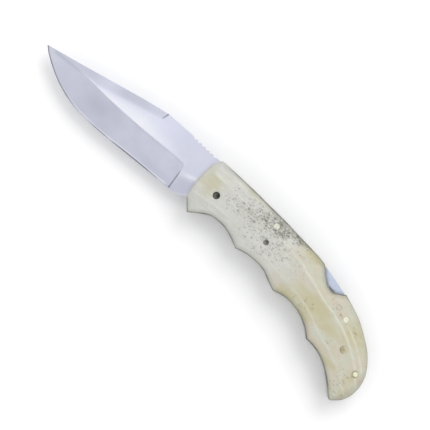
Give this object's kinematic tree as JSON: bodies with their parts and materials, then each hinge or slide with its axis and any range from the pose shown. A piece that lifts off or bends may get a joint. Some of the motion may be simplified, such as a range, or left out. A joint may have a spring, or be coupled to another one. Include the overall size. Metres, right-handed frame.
{
  "type": "folding pocket knife",
  "caption": "Lock-back folding knife with a clip point blade, steel liners, and bone scales with finger grooves; the blade folds and the lock bar rocks.",
  "frame": {"origin": "bottom of the bounding box of the open knife lying on its right side, in the middle of its length and its width", "axes": "+X from the point towards the butt, +Y towards the spine, +Z out of the left side"},
  "size_m": [0.2026, 0.0472, 0.0153],
  "materials": {
    "blade_steel": "satin",
    "spring_steel": "satin",
    "liner_steel": "satin",
    "brass": "satin",
    "bone": "satin"
  },
  "bodies": {
    "handle": {"lock_spring": "spring_steel", "backspacer": "spring_steel", "left_liner": "liner_steel", "right_liner": "liner_steel", "left_scale": "bone", "right_scale": "bone", "left_washer": "brass", "right_washer": "brass", "left_scale_rivet": "brass", "right_scale_rivet": "brass", "pivot_pin": "liner_steel", "lock_bar_pin": "brass", "rear_pin": "brass", "spacer_pin": "brass", "butt_pin": "brass"},
    "blade": {"blade": "blade_steel"},
    "lock_bar": {"lock_bar": "spring_steel"}
  },
  "joints": [
    {"name": "blade_fold", "type": "hinge", "parent": "handle", "child": "blade", "pos_m": [-0.0015, 0.01041, 0.00765], "axis": [0, 0, 1], "range_deg": [0, 163]},
    {"name": "lock_rock", "type": "hinge", "parent": "handle", "child": "lock_bar", "pos_m": [0.0273, 0.01781, 0.00765], "axis": [0, 0, 1], "range_deg": [0, 2], "stiffness_Nm_per_rad": 8, "springref_deg": 5.16, "deforming": ["lock_spring"]}
  ]
}
